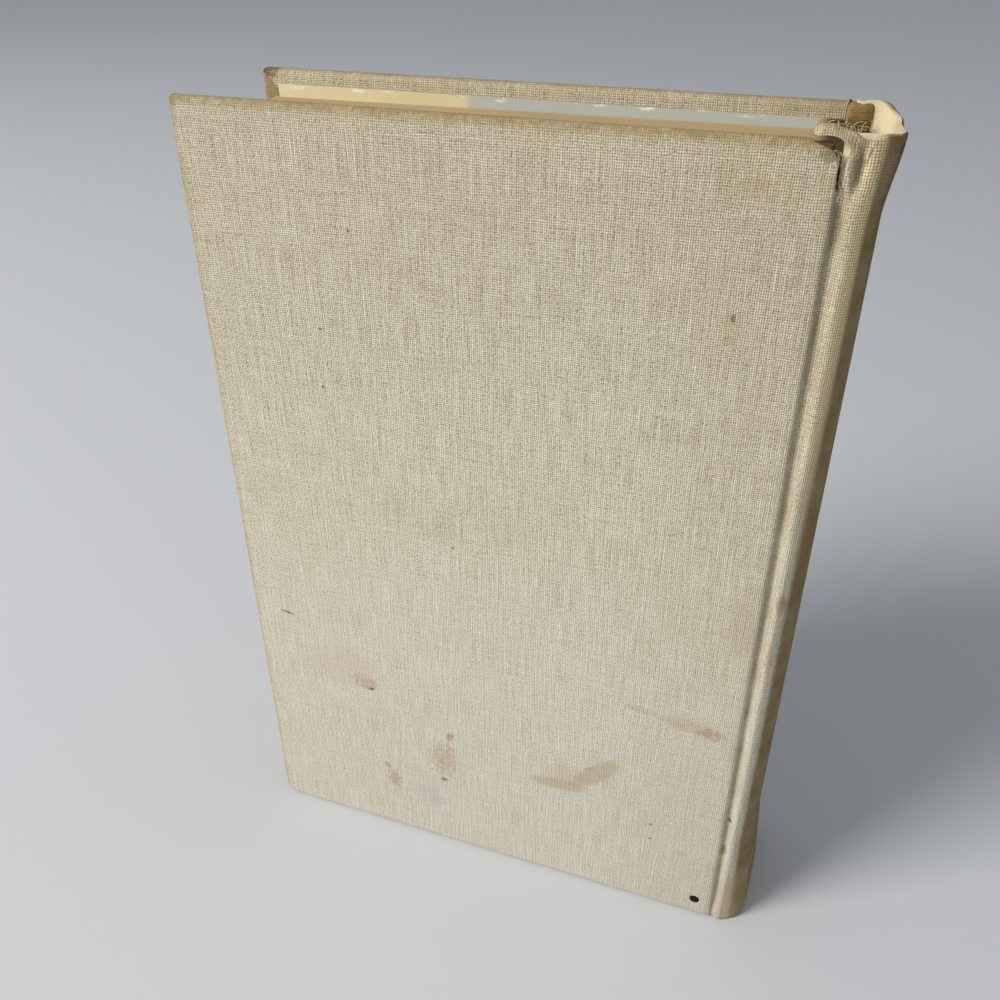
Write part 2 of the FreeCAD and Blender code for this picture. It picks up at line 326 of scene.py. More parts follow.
def soiled(tone, u, v, rag, blotch):
    """The cloth's colour with the brown of its edges, joint and groove laid over it."""
    head = v.ramp(case_height - 70 * mm, case_height + 4 * mm) * 0.2
    fore = u.ramp(x_fore + 2.4 * mm, x_fore - 0.4 * mm) * 0.9
    joint = u.ramp(x_groove - 45 * mm, x_groove) * 0.14
    tail = v.ramp(1.2 * mm, -0.8 * mm) * 0.2
    rim = (v - case_height - 0.6 * mm).size().ramp(3.2 * mm, 0.8 * mm) * 0.6
    groove = (u - x_groove - 1.5 * mm + rag * 1.2 * mm).size().ramp(2.2 * mm, 0.6 * mm)
    soil = head + fore + joint + tail + rim + groove * (blotch * 1.0 + 0.12)
    return (soil * (rag * 1.6 + blotch * 0.8 + 1.0)).clamp().tint(tone, linen_brown)


def browned_and_shaded_spine(tone, u, v, rag, blotch):
    """Brown from the ridge to the back, sunned cloth deepened by painted shade; near the head the ridge gets
    worn cream and a painted highlight.
    """
    # The spine's brown is partly sunned cloth and partly painted shade of the side turned from the light.
    brown = (u + rag * 0.8 * mm).ramp(x_groove + 5.6 * mm, x_groove + 7.3 * mm) * (blotch * 0.9 + 0.9)
    tone = brown.clamp().tint(tone, spine_brown_and_shade)
    # Pale cream on the ridge towards the head: partly wear, partly a painted highlight.
    rub_and_highlight = (u - x_groove - 5.8 * mm).size().ramp(2.0 * mm, 0.7 * mm) * v.ramp(110 * mm, 200 * mm)
    return (rub_and_highlight * 0.9).tint(tone, rub_and_highlight_cream)


def scattered_specks(u, v):
    """Small round specks, one in every third cell or so, of uneven size."""
    sites = u.node("ShaderNodeTexVoronoi", {"Vector": vector(u, v, 0.0), "Scale": 1.0 / speck_cell})
    luck = sites.also(1).parts()[0]
    size = luck.ramp(0.66, 1.0) * (speck_reach / speck_cell)
    return (size - sites).ramp(0.0, speck_reach / speck_cell * 0.6)


def from_middle(where, spot, turn=0.0):
    """How far out in an ellipse, squared: 0 in its middle and 1 on its rim. turn is in degrees."""
    centre_u, centre_v, reach_u, reach_v = (size * mm for size in spot)
    local = where.node("ShaderNodeMapping", {"Vector": where, "Location": (centre_u, centre_v, 0.0),
                                             "Rotation": (0.0, 0.0, math.radians(turn)),
                                             "Scale": (reach_u, reach_v, 1.0)}, vector_type="TEXTURE")
    return local.node("ShaderNodeVectorMath", (local, local), 1, operation="DOT_PRODUCT")


print("specks up to", round(2 * speck_reach / mm, 1), "mm across")

# %% Linen finish


def make_linen(name, marks, dot=None):
    """The linen of one cover, with its own marks and perhaps one black dot."""
    material, shader, start = new_finish(name, 0.15)
    sheet = start.node("ShaderNodeUVMap", uv_map="weave")
    u, v, _ = sheet.parts()
    threads, grain, bundle, bar, slub = linen_threads(u, v)
    rag = noise(vector(u, v, 5.0), 750.0, 4.0) - 0.5
    cloud = noise(vector(u, v, 0.0), 22.0, 3.0) - 0.5
    blotch = noise(vector(u, v, 4.0), 140.0, 3.0) - 0.5
    tone = (v.ramp(10 * mm, 170 * mm) * 0.9 + cloud * 0.5).clamp().tint(linen_pale, linen_warm)
    coarse = v.ramp(60 * mm, 190 * mm) * 0.7 + 1.0
    uneven = grain * 1.8 + bundle * 0.7 + bar * 0.35
    tone = (coarse * uneven + cloud * 0.1 + blotch * 0.08 + 0.25).clamp().tint(tone, thread_shade)
    tone = (slub * 0.5).tint(tone, linen_pale)
    tone = soiled(tone, u, v, rag, blotch)
    tone = browned_and_shaded_spine(tone, u, v, rag, blotch)
    tone = (scattered_specks(u, v) * 0.7).tint(tone, speck_brown)
    for spot, strength, stain, ragged, *turn in marks:
        patch = (from_middle(sheet, spot, *turn) + rag * ragged).ramp(1.15, 0.25) * strength
        tone = patch.tint(tone, stain)
    # Dark grain specks, and painted shade where the weave's height is low.
    pits_and_hollow_shade = (grain.ramp(-0.06, -0.2) * 0.7).most(threads.ramp(0.7, 0.2))
    tone = (pits_and_hollow_shade * coarse * 0.5).clamp().tint(tone, thread_gap_and_shade)
    if dot:
        tone = (from_middle(sheet, dot) + rag * 0.3).ramp(1.1, 0.85).tint(tone, near_black)
    height = threads * 0.6 + slub * 0.5 + bundle * 0.5 + grain * 0.8 + bar * 0.3
    finish_with(shader, tone, threads * -0.08 + 0.95, height, 0.17 * mm)
    return material


# %% [markdown]
# Marks are laid over the linen one by one, because each has its own place on the real cover, where
# noise alone would scatter them anywhere. A mark is a soft patch with a ragged rim: its place on the
# flat cloth and its reach in millimetres, from the middle of the book's width and from the tail,
# then its strength, its stain, how ragged it is and, if it leans, its turn in degrees. Places higher
# than the boards lie on the turned-in cloth and on the flap.

# %% Marks of the two covers
back_marks = [((x, z, 0.45, 0.5), 0.7, speck_brown, 1.2) for x, z in (
    (-33.5, 191.0), (-43.0, 167.3), (-43.9, 152.5), (-11.7, 113.2), (45.1, 32.6), (45.4, 26.8))]
back_marks += [
    ((49.2, 182.1, 0.6, 1.1), 0.8, speck_brown, 1.6), ((49.6, 181.0, 2.6, 3.4), 0.25, wet_stain, 1.6),
    ((49.9, 207.9, 3.4, 1.4), 0.5, wet_stain, 2.2), ((49.0, 177.5, 1.4, 1.2), 0.3, rust, 2.6),
    ((-63.7, 78.5, 2.6, 0.45), 0.7, linen_dark, 1.2, -8.0), ((-38.9, 56.7, 1.2, 0.7), 0.9, red_stain, 1.2),
    ((-41.0, 59.0, 4.5, 3.0), 0.3, red_stain, 4.0), ((-48.0, 63.0, 13.0, 9.0), 0.3, pink_stain, 1.6),
    ((-33.8, 21.5, 2.4, 4.0), 0.35, rust, 5.0), ((-36.0, 26.5, 1.2, 1.4), 0.4, rust, 3.0),
    ((-17.0, 36.0, 4.6, 6.6), 0.3, rust, 6.0), ((-17.3, 27.0, 1.1, 0.8), 0.75, linen_dark, 2.0),
    ((-16.0, 33.0, 7.0, 10.0), 0.2, pink_stain, 2.0), ((-14.8, 45.5, 1.2, 1.8), 0.4, red_stain, 3.0),
    ((-21.7, 17.5, 5.0, 5.0), 0.4, violet_stain, 1.5), ((18.0, 38.6, 9.6, 2.5), 0.5, wet_stain, 0.5, 4.0),
    ((28.8, 46.6, 10.4, 3.4), 0.5, wet_stain, 0.5, 47.0), ((21.0, 43.5, 6.0, 4.6), 0.22, wet_stain, 1.0),
    ((26.6, 48.0, 2.0, 0.7), 0.5, wet_stain, 1.4, 30.0), ((39.2, 74.4, 5.0, 1.3), 0.3, wet_stain, 1.6, -6.0),
    ((51.0, 72.8, 9.0, 2.6), 0.32, wet_stain, 1.6, -6.0), ((57.3, 72.1, 3.4, 2.2), 0.32, rust, 5.0),
    ((54.4, 24.3, 2.2, 1.2), 0.3, wet_stain, 2.4), ((72.0, 7.0, 7.0, 16.0), 0.4, wet_stain, 1.2),
    ((60.5, 108.0, 3.0, 14.0), 0.2, wet_stain, 1.6), ((66.4, 41.3, 0.8, 0.9), 0.75, linen_dark, 1.6),
    ((66.0, 29.0, 1.4, 2.2), 0.5, rust, 2.6), ((69.4, 116.0, 1.4, 3.4), 0.5, rust, 2.0),
    ((69.0, 100.0, 1.0, 4.6), 0.3, rust, 2.6), ((-10.0, 122.0, 26.0, 9.0), 0.07, linen_brown, 1.6),
    ((67.7, 211.6, 1.5, 4.6), 0.75, linen_dark, 1.2), ((62.6, 213.6, 2.6, 1.6), 0.5, linen_dark, 1.6),
    # The broad dark patch at 79 and 208 on the spine's side below the torn head is soil and painted shade.
    ((66.0, 201.0, 1.1, 4.4), 0.4, linen_dark, 2.0), ((79.0, 208.0, 5.5, 20.0), 0.5, linen_dark, 1.4),
    ((84.0, 214.4, 12.0, 1.4), 0.75, linen_dark, 0.8), ((55.0, 249.0, 13.0, 7.0), 0.4, linen_brown, 0.8)]
front_marks = [
    ((67.6, 221.0, 4.6, 7.0), 0.85, burnt_brown, 1.2), ((65.4, 224.0, 2.0, 2.6), 0.7, linen_dark, 1.6),
    ((70.6, 221.5, 1.6, 3.4), 0.7, linen_dark, 1.6), ((56.0, 218.0, 14.0, 3.4), 0.3, linen_brown, 1.2),
    ((-74.0, 217.5, 5.0, 4.0), 0.8, linen_dark, 1.6), ((10.0, 60.0, 22.0, 14.0), 0.2, wet_stain, 1.6),
    ((-40.0, 120.0, 9.0, 7.0), 0.25, pink_stain, 1.6)]
black_dot = (60.0, 6.5, 1.45, 1.45)
back_finish = make_linen("back_linen_finish", back_marks, black_dot)
front_finish = make_linen("front_linen_finish", front_marks)
print("linen finish", len(back_finish.node_tree.nodes), "nodes,", len(back_marks), "marks")

# %% [markdown]
# A case is covered with one sheet of cloth. It is glued over the boards, turned in over their
# edges, pressed into the joints and drawn round the spine. Separate strips would leave seams that
# the real sheet doesn't have, so each half is modelled as one skin. The skin starts from a plan
# line: from a board's edge into the groove, over the ridge and round the back.

# %% Helpers for lines
line_step = 0.05 * mm


def arc_through(a, b, c, steps):
    """Points on the circle through three points, from a to c."""
    ax, ay, bx, by, cx, cy = *a, *b, *c
    twice_area = 2 * (ax * (by - cy) + bx * (cy - ay) + cx * (ay - by))
    far_a, far_b, far_c = ax**2 + ay**2, bx**2 + by**2, cx**2 + cy**2
    middle_x = (far_a * (by - cy) + far_b * (cy - ay) + far_c * (ay - by)) / twice_area
    middle_y = (far_a * (cx - bx) + far_b * (ax - cx) + far_c * (bx - ax)) / twice_area
    radius = math.hypot(ax - middle_x, ay - middle_y)
    angles = [math.atan2(p[1] - middle_y, p[0] - middle_x) for p in (a, b, c)]
    spread = [(t - angles[0]) % (2 * math.pi) for t in angles]
    sweep = spread[2] if spread[1] < spread[2] else spread[2] - 2 * math.pi
    return [(middle_x + radius * math.cos(angles[0] + sweep * k / steps),
             middle_y + radius * math.sin(angles[0] + sweep * k / steps)) for k in range(steps + 1)]


def along(points):
    """Distance along a line at each of its points."""
    return np.concatenate([[0], np.cumsum(np.linalg.norm(np.diff(points, axis=0), axis=1))])


def resample(points, places):
    """Points of a line at given distances along it."""
    run = along(points)
    return np.stack([np.interp(places, run, points[:, k]) for k in range(points.shape[1])], 1)


def soften(points, window):
    """Rounds the kinks of a line by a running mean, ends held."""
    run = along(points)
    fine = resample(points, np.linspace(0, run[-1], int(run[-1] / line_step)))
    wide = int(window / line_step) // 2
    padded = np.concatenate([np.repeat(fine[:1], wide, 0), fine, np.repeat(fine[-1:], wide, 0)])
    kernel = np.ones(2 * wide + 1) / (2 * wide + 1)
    smooth = np.stack([np.convolve(padded[:, k], kernel, "valid") for k in range(2)], 1)
    smooth[0], smooth[-1] = fine[0], fine[-1]
    return smooth


def outward_normals(points):
    """Plan normals of a line that runs round the book with its outside on the right."""
    step = np.gradient(points, axis=0)
    normal = np.stack([step[:, 1], -step[:, 0]], 1)
    return normal / np.linalg.norm(normal, axis=1)[:, None]


print("lines are softened in steps of", line_step / mm, "mm")

# %% Plan line of the spine's cloth
line_start = 2 * mm
fold_window = 0.9 * mm
board_lap = 1.75 * mm
face_end = x_board_end + cloth - edge_round + board_lap
ridge_x = x_groove + ridge_reach


def half_spine():
    """Outer line of the cloth from the back cover's face to the middle of the spine."""
    groove_y = -y_face + groove_depth
    ridge = (ridge_x, -y_face + ridge_drop)
    back = x_groove + back_reach
    corner = (back - corner_fall, -y_face + corner_inset)
    quarter = (ridge_x + quarter_share * (corner[0] - ridge_x), -y_face + quarter_inset)
    rise = (x_groove + (valley_width + ridge_reach) / 2, -y_face + groove_depth / 4)
    line = [(face_end - line_start, -y_face), (face_end, -y_face)]
    line += [(face_end + edge_round * math.sin(t), -y_face + edge_round * (1 - math.cos(t)))
             for t in np.linspace(0, math.pi / 2, 12)[1:]]
    line += [(face_end + edge_round + 0.3 * mm, groove_y), (x_groove + valley_width, groove_y)]
    line += arc_through(line[-1], rise, ridge, 24)[1:]
    line += arc_through(ridge, quarter, corner, 60)[1:]
    line += arc_through(corner, (back, 0.0), (corner[0], -corner[1]), 80)[1:41]
    return np.array(line)


half_line = soften(half_spine(), fold_window)
print("half spine line", round(along(half_line)[-1] / mm, 1), "mm")

# %% The whole line from cover to cover
fine_reach, fine_step = 9.6 * mm, 0.36 * mm
back_side = -15 * mm


def ease(amount):
    """0 to 1 with a soft start and end, held beyond them."""
    amount = np.clip(amount, 0, 1)
    return amount * amount * (3 - 2 * amount)


def bulge_at(z):
    """How far the spine stands out beyond its mid-height line."""
    return tail_bulge * ease(1 - z / tail_swell) + head_bulge * ease(1 - (case_height - z) / head_swell)


def bulge_share(x):
    """How much of that bulge the line takes: none at the ridge, all of it at the back."""
    return ease((x - ridge_x) / (back_reach - ridge_reach - corner_fall))


def plan_columns(front_part):
    """Columns of the skin past a board's face: plan points, flat distance and share of the bulge."""
    run = along(half_line)
    fine = np.arange(line_start, line_start + fine_reach, fine_step)
    coarse = np.linspace(fine[-1] + 0.6 * mm, run[-1], 22)
    half = resample(half_line, np.concatenate([fine, coarse]))
    crest = (ridge_x, -y_face + ridge_drop)
    ahead = half[half[:, 0] < ridge_x - 0.1 * mm]
    ahead = ahead[ahead[:, 1] < back_side]
    if front_part:
        points = np.concatenate([ahead, [crest]])
    else:
        beyond = half[len(ahead):][::-1][1:] * (1, -1)
        beyond = beyond[beyond[:, 0] > ridge_x + 0.1 * mm]
        points = np.concatenate([half, beyond, [(ridge_x, y_face - ridge_drop)]])
    return points, face_end + along(points), bulge_share(points[:, 0])


print("columns of the back skin past its board", len(plan_columns(False)[0]))

# %% [markdown]
# Where cloth is folded over a board, its section is always the same: flat, a quarter round, the
# board's edge, another quarter round, and flat again on the inside. Sweeping that one section along
# every edge keeps all the folds alike. At a corner the inner part is mitred, so points that would
# pass the mitre stop on it and are welded there.

# %% Edge profile
band_inset = 4 * mm


def fold_profile():
    """Fold over a board's edge: outward offset and depth, and the distance along the cloth."""
    quarter = np.linspace(0, math.pi / 2, 7)
    flat = np.linspace(-band_inset, -edge_round, 4)[:-1]
    inner = np.linspace(-edge_round, -turn_in, 9)[1:]
    out = np.concatenate([flat, -edge_round + edge_round * np.sin(quarter),
                          -edge_round + edge_round * np.cos(quarter), inner])
    depth = np.concatenate([flat * 0, edge_round - edge_round * np.cos(quarter),
                            turned_depth - edge_round + edge_round * np.sin(quarter),
                            inner * 0 + turned_depth])
    profile = np.stack([out, depth], 1)
    return profile, along(profile) - band_inset


def corner_fan(profile, run, radius):
    """The fold round a corner of the fore edge, laid out at the tail."""
    straight = np.linspace(band_inset, radius, 4)
    angles = np.linspace(0, math.pi / 2, 9)[1:]
    rim = [(s, 0.0, 0.0, -1.0) for s in straight]
    rim += [(radius * (1 - math.sin(t)), radius * (1 - math.cos(t)), -math.sin(t), -math.cos(t))
            for t in angles]
    rim += [(0.0, s, -1.0, 0.0) for s in straight[::-1][1:]]
    points = np.zeros((len(run), len(rim), 3))
    flat = np.zeros((len(run), len(rim), 2))
    for row, ((out, depth), distance) in enumerate(zip(profile, run)):
        inset = max(0.0, -out)
        for column, (px, pz, nx, nz) in enumerate(rim):
            round_part = nx < -1e-6 and nz < -1e-6
            x, z = px + nx * out, pz + nz * out
            if inset > radius and round_part:
                x, z = inset, inset
            points[row, column] = (x_fore + max(x, inset * (not round_part)), -y_face + depth,
                                   max(z, inset * (not round_part)))
            flat[row, column] = (x_fore + px + nx * distance, pz + nz * distance)
    return points, flat


print("a fold takes", round(fold_profile()[1][-1] / mm, 1), "mm of cloth from the board's edge inwards")

# %% [markdown]
# A skin is gathered from patches, each a grid of points with every point's place on the flat cloth.
# Grids come straight from the plan line and the edge profile, so no modelling by hand is needed. The
# patches are welded, what has torn away is left out, and the flat places become the UV map that the
# weave reads.

# %% A skin made of patches
weld_reach = 0.02 * mm
torn_side, torn_drop = 8 * mm, 13 * mm


class Skin:
    """Collects patches of points and flat-cloth coordinates, and joins them into one mesh."""

    def __init__(self):
        self.points, self.flat, self.quads, self.can_tear, self.count = [], [], [], [], 0

    def patch(self, points, flat, can_tear=True):
        rows, columns = points.shape[:2]
        index = self.count + np.arange(rows * columns).reshape(rows, columns)
        corners = [index[:-1, :-1], index[:-1, 1:], index[1:, 1:], index[1:, :-1]]
        self.points.append(points.reshape(-1, 3))
        self.flat.append(flat.reshape(-1, 2))
        self.quads.append(np.stack(corners, -1).reshape(-1, 4))
        self.can_tear.append(np.full(len(self.quads[-1]), can_tear))
        self.count += rows * columns

    def mesh(self, name, torn=None, shift=None):
        """Weld the patches, leave out what is torn away and turn every face outwards."""
        points = np.concatenate(self.points)
        flat = np.concatenate(self.flat)
        quads = np.concatenate(self.quads)
        if torn is not None:
            gone = torn(flat[quads].mean(1), points[quads].mean(1))
            quads = quads[~(gone & np.concatenate(self.can_tear))]
        if shift is not None:
            points = points + shift(points)
        mesh = bpy.data.meshes.new(name)
        mesh.from_pydata(points.tolist(), [], quads.tolist())
        layer = mesh.uv_layers.new(name="weave")
        corner_vertex = np.zeros(len(mesh.loops), np.int32)
        mesh.loops.foreach_get("vertex_index", corner_vertex)
        layer.data.foreach_set("uv", flat[corner_vertex].astype(np.float32).ravel())
        work = bmesh.new()
        work.from_mesh(mesh)
        bmesh.ops.remove_doubles(work, verts=work.verts, dist=weld_reach)
        bmesh.ops.dissolve_degenerate(work, dist=weld_reach / 4, edges=work.edges)
        bmesh.ops.delete(work, geom=[v for v in work.verts if not v.link_faces], context="VERTS")
        if torn is not None:
            soften_tear(work)
        bmesh.ops.recalc_face_normals(work, faces=work.faces)
        outermost = min(work.faces, key=lambda face: face.calc_center_median().y)
        if outermost.normal.y > 0:
            bmesh.ops.reverse_faces(work, faces=work.faces)
        work.to_mesh(mesh)
        work.free()
        mesh.polygons.foreach_set("use_smooth", [True] * len(mesh.polygons))
        return mesh


def soften_tear(work, rounds=4):
    """Draws the stepped rim of the tear into a running line."""
    rim = [v for v in work.verts if v.is_boundary and v.co.x > x_groove - torn_side
           and v.co.z > case_height - torn_drop]
    for _ in range(rounds):
        places = {}
        for vert in rim:
            ahead = [e.other_vert(vert).co for e in vert.link_edges if e.is_boundary]
            if len(ahead) == 2:
                places[vert] = (ahead[0] + ahead[1] + vert.co * 2) / 4
        for vert, place in places.items():
            vert.co = place


print("patches are welded within", weld_reach / mm, "mm")

# %% Pieces and their thickness


def keep_piece(name, mesh, *finishes):
    """An object at the origin that holds a finished mesh."""
    made = bpy.data.objects.new(name, mesh)
    bpy.context.scene.collection.objects.link(made)
    for finish in finishes:
        mesh.materials.append(finish)
    return made


def as_plain_mesh(piece):
    """Turns the piece's modifiers into its mesh."""
    view = bpy.context.evaluated_depsgraph_get()
    mesh = bpy.data.meshes.new_from_object(piece.evaluated_get(view))
    piece.modifiers.clear()
    piece.data = mesh


def report(piece):
    print(piece.name, len(piece.data.polygons), "faces", [round(v / mm, 2) for v in piece.dimensions])


def thicken(piece, thickness):
    """Gives a skin the thickness of its cloth, inwards, with nothing below the table top."""
    wall = piece.modifiers.new("thickness", "SOLIDIFY")
    wall.thickness = thickness
    wall.offset = -1.0
    as_plain_mesh(piece)
    for vert in piece.data.vertices:
        vert.co.z = max(vert.co.z, 0.0)
    piece.data.set_sharp_from_angle(angle=math.radians(50))
    report(piece)
    return piece


print("the case's cloth is", round(cloth / mm, 2), "mm thick")

# %% The skin of one cover and its share of the spine
flat_step = 1.6 * mm
head_zone = 14 * mm
wall_change = 5 * mm
body_rows, head_rows, loose_rows = 120, 24, 13


def cover_skin(front_part):
    """The cloth of one cover, its joint and its share of the spine, as one open skin."""
    plan, plan_u, share = plan_columns(front_part)
    face_x = np.linspace(x_fore + band_inset, plan[0, 0], int((plan[0, 0] - x_fore) / flat_step))[:-1]
    plan_xy = np.concatenate([np.stack([face_x, np.full(len(face_x), -y_face)], 1), plan])
    column_u = np.concatenate([face_x, plan_u])
    share = np.concatenate([face_x * 0, share])
    outward = outward_normals(plan_xy)
    outward[:len(face_x)] = (0, -1)
    columns = len(column_u)
    fine_zone = case_height - head_zone
    rows_z = np.concatenate([np.linspace(band_inset, fine_zone, body_rows)[:-1],
                             np.linspace(fine_zone, case_height - band_inset, head_rows)])
    profile, run = fold_profile()
    ease_in = np.clip((column_u - face_end) / wall_change, 0, 1)
    thickness = 1 + (spine_wall / turned_depth - 1) * ease_in
    shorten = 1 + (spine_turn_in / turn_in - 1) * ease_in

    def across_columns(z, depth, count=columns, first=0):
        """Points of every column at its own height and depth."""
        z = np.broadcast_to(z, (columns,))
        x = plan_xy[:, 0] + share * bulge_at(z) - outward[:, 0] * depth
        y = plan_xy[:, 1] - outward[:, 1] * depth
        return np.stack([x, y, z], 1)[first:count]

    def flat_row(v, count=columns, first=0):
        return np.stack([column_u, np.full(columns, v)], 1)[first:count]

    skin = Skin()
    skin.patch(np.stack([across_columns(z, 0.0) for z in rows_z]), np.stack([flat_row(z) for z in rows_z]))
    for head in (False, True):
        count = columns if front_part or not head else len(face_x) + 1
        points, flat = [], []
        for (out, depth), distance in zip(profile, run):
            reach = out * shorten if depth > edge_round else np.full(columns, out)
            z = case_height + reach if head else -reach
            row = across_columns(z, depth * thickness)
            row[:, 0] = np.maximum(row[:, 0], x_fore - out)
            points.append(row[:count])
            flat.append(flat_row(case_height + distance if head else -distance, count))
        skin.patch(np.stack(points), np.stack(flat))
    if not front_part:
        loose = len(face_x)
        top = np.linspace(case_height - band_inset, case_height + head_overrun, loose_rows)
        skin.patch(np.stack([across_columns(z, 0.0, first=loose) for z in top]),
                   np.stack([flat_row(z, first=loose) for z in top]))
    edge, edge_flat = [], []
    for (out, depth), distance in zip(profile, run):
        z = np.clip(rows_z, -out, case_height + out)
        edge.append(np.stack([z * 0 + x_fore - out, z * 0 - y_face + depth, z], 1))
        edge_flat.append(np.stack([z * 0 + x_fore - distance, rows_z], 1))
    skin.patch(np.stack(edge), np.stack(edge_flat))
    for head, radius in ((False, tail_corner_round), (True, head_corner_round)):
        points, flat = corner_fan(profile, run, radius)
        if head:
            points[:, :, 2] = case_height - points[:, :, 2]
            flat[:, :, 1] = case_height - flat[:, :, 1]
        skin.patch(points, flat)
    return skin


print("rows of a cover's face", body_rows + head_rows - 1)

# %% [markdown]
# At the head of the back joint the cloth has torn. The turned-in corner has come off the board, and
# a ragged gap runs down the groove below it. A boolean cut would leave a clean hard rim, so the tear
# is an outline on the skin: faces inside it are left out and the rim is smoothed a little. Outlines
# are in millimetres from the middle of the groove and from the head of the boards.

# %% The tear
head_tear = [(-5.8, 2.5), (-5.8, 0.3), (-3.8, -0.9), (-2.1, -1.7), (-0.9, -1.9), (-0.4, -2.5), (-0.6, -4.3),
             (-0.5, -6.3), (-0.45, -8.3), (0.1, -8.9), (0.3, -7.7), (0.4, -5.8), (0.4, -4.2), (0.6, -2.8),
             (0.9, -1.5), (0.7, -0.3), (0.6, 2.5)]
head_line = np.array([(-21, 1.0), (-17, 0.7), (-12, 0.4), (-6, -1.2), (-3.5, -0.9), (0, -2.1), (5, -2.2),
                      (8, -2.9), (12, -2.8), (17.5, -1.4), (19, 0.0), (21, 0.0)])


def ripple(a, b, seed, waves=7):
    """A smooth unevenness between -1 and 1 from a few fixed waves."""
    chance = np.random.default_rng(seed)
    total = 0
    for _ in range(waves):
        along_a, along_b, phase = chance.uniform(-1, 1), chance.uniform(-1, 1), chance.uniform(0, 6.28)
        total = total + np.sin(a * along_a + b * along_b + phase)
    return total / waves


def inside_outline(x, z, outline):
    """Which points lie inside a closed outline."""
    inside = np.zeros(len(x), bool)
    for (x1, z1), (x2, z2) in zip(outline, outline[1:] + outline[:1]):
        crosses = (z1 > z) != (z2 > z)
        inside ^= crosses & (x < (x2 - x1) * (z - z1) / (z2 - z1 + 1e-12) + x1)
    return inside


def torn_height(y):
    """Height of the spine's torn head over the boards at a place across the book, in millimetres."""
    return np.interp(y, head_line[:, 0], head_line[:, 1]) + 0.45 * ripple(y * 2.1, y * 0, 11)


def from_joint(points):
    """Millimetres from the middle of the groove and from the head of the boards."""
    return (points[:, 0] - x_groove) / mm, (points[:, 2] - case_height) / mm


def torn_away(flat, points):
    """Faces of the back skin that have gone: the tear, the turned-in corner and the ragged head."""
    x, z = from_joint(points)
    near = points[:, 1] < -12 * mm
    rough = ripple(x * 9, z * 9, 3) * 0.25
    gap = near & inside_outline(x + rough, z, head_tear) & (points[:, 1] < -18 * mm)
    corner = near & (x > -5.6 + rough * 2) & (flat[:, 1] > case_height - 0.4 * mm) & (x < 0.4)
    head = (x > 0.4) & (z > torn_height(points[:, 1] / mm))
    return gap | corner | head


print("the tear runs", -min(z for x, z in head_tear), "mm down the groove")

# %% [markdown]
# Round the tear the cloth is crumpled, and the groove is not quite even: it leans a little and runs
# out flat at the ends. Sculpting would do this by hand, but a few soft bumps and ramps that shift
# the skin's points can be read and changed. A bump is its place, its reach and its height.

# %% Crumpled cloth and an uneven groove
crumples = [(1.2, -4.5, 1.0, 3.8, 0.6), (3.0, -3.6, 0.9, 3.8, -0.85), (4.9, -3.0, 1.3, 4.5, 0.3),
            (2.4, -8.8, 0.8, 2.4, -0.45), (7.4, -6.0, 1.4, 4.0, -0.35), (-2.5, -2.8, 2.0, 1.0, -0.3),
            (-4.5, -1.6, 1.6, 1.0, 0.15)]
groove_lean = 0.9 * mm
groove_runout = 11 * mm
fold_reach = 1.3 * mm
tail_flat, head_flat = 0.7, 0.75


def groove_dip(points):
    """How deep each point lies in the groove of the back cover's side."""
    line = half_line[half_line[:, 0] < ridge_x]
    dip = np.interp(points[:, 0], line[:, 0], line[:, 1] + y_face, right=0.0)
    return dip * (points[:, 1] < back_side)


def groove_drift(points):
    """The groove leans a little along the book, and runs out flat at the tail."""
    fold = np.exp(-((points[:, 0] - face_end - edge_round) / fold_reach) ** 2) * (points[:, 1] < back_side)
    runout = np.clip(1 - points[:, 2] / groove_runout, 0, 1) ** 2 * tail_flat
    moved = np.zeros_like(points)
    moved[:, 0] = fold * groove_lean * (0.5 - points[:, 2] / case_height)
    moved[:, 1] = -groove_dip(points) * runout
    return moved


def as_front(points):
    """The front cover's groove, before that skin is mirrored: it is nearly flat at the head too."""
    moved = groove_drift(points)
    runout = np.clip(1 - (case_height - points[:, 2]) / groove_runout, 0, 1)
    moved[:, 1] -= groove_dip(points) * runout * head_flat
    return moved


def crumple(points):
    """Push the skin in and out round the tear, on top of the groove's drift."""
    x, z = from_joint(points)
    near = points[:, 1] < -8 * mm
    push = np.zeros(len(points))
    for middle_x, middle_z, reach_x, reach_z, height in crumples:
        push += height * np.exp(-((x - middle_x) / reach_x) ** 2 - ((z - middle_z) / reach_z) ** 2) * near
    moved = np.zeros_like(points)
    slope = np.clip((x - 3.5) / 5, 0, 1)
    moved[:, 1] = -push * mm * (1 - slope)
    moved[:, 0] = push * mm * slope
    return moved + groove_drift(points)


print(len(crumples), "bumps and dents round the tear")

# %% [markdown]
# The flap is the cloth that once wrapped the board's corner: a little hood, open at the front,
# highest near its tip. It grows out of the spine's cloth, so it belongs to the same skin. It is a
# sweep from tip to root whose section changes by a few short tables of place and value.

# %% The lifted flap
flap_lip = [(0.0, 0.7), (0.25, 1.0), (0.5, 0.55), (0.7, -0.4), (0.8, -2.2), (1.0, -4.4)]
flap_top = [(0.0, 0.9), (0.06, 1.8), (0.16, 2.5), (0.33, 2.6), (0.48, 2.0), (0.72, 1.6), (1.0, -0.6)]
flap_front = [(0.0, -19.6), (0.12, -20.6), (0.6, -20.6), (0.8, -20.2), (1.0, -20.45)]
flap_depth = [(0.0, 0.3), (0.12, 1.5), (0.6, 1.4), (0.8, 0.7), (1.0, 0.3)]
flap_turn = [(0.0, 190.0), (0.6, 190.0), (0.85, 120.0), (1.0, 80.0)]
flap_tip, flap_root = -6.1, 3.8
flap_steps, flap_turns = 34, 18
flap_flat_x, flap_flat_z, flap_flat_rise = 14, 30, 6


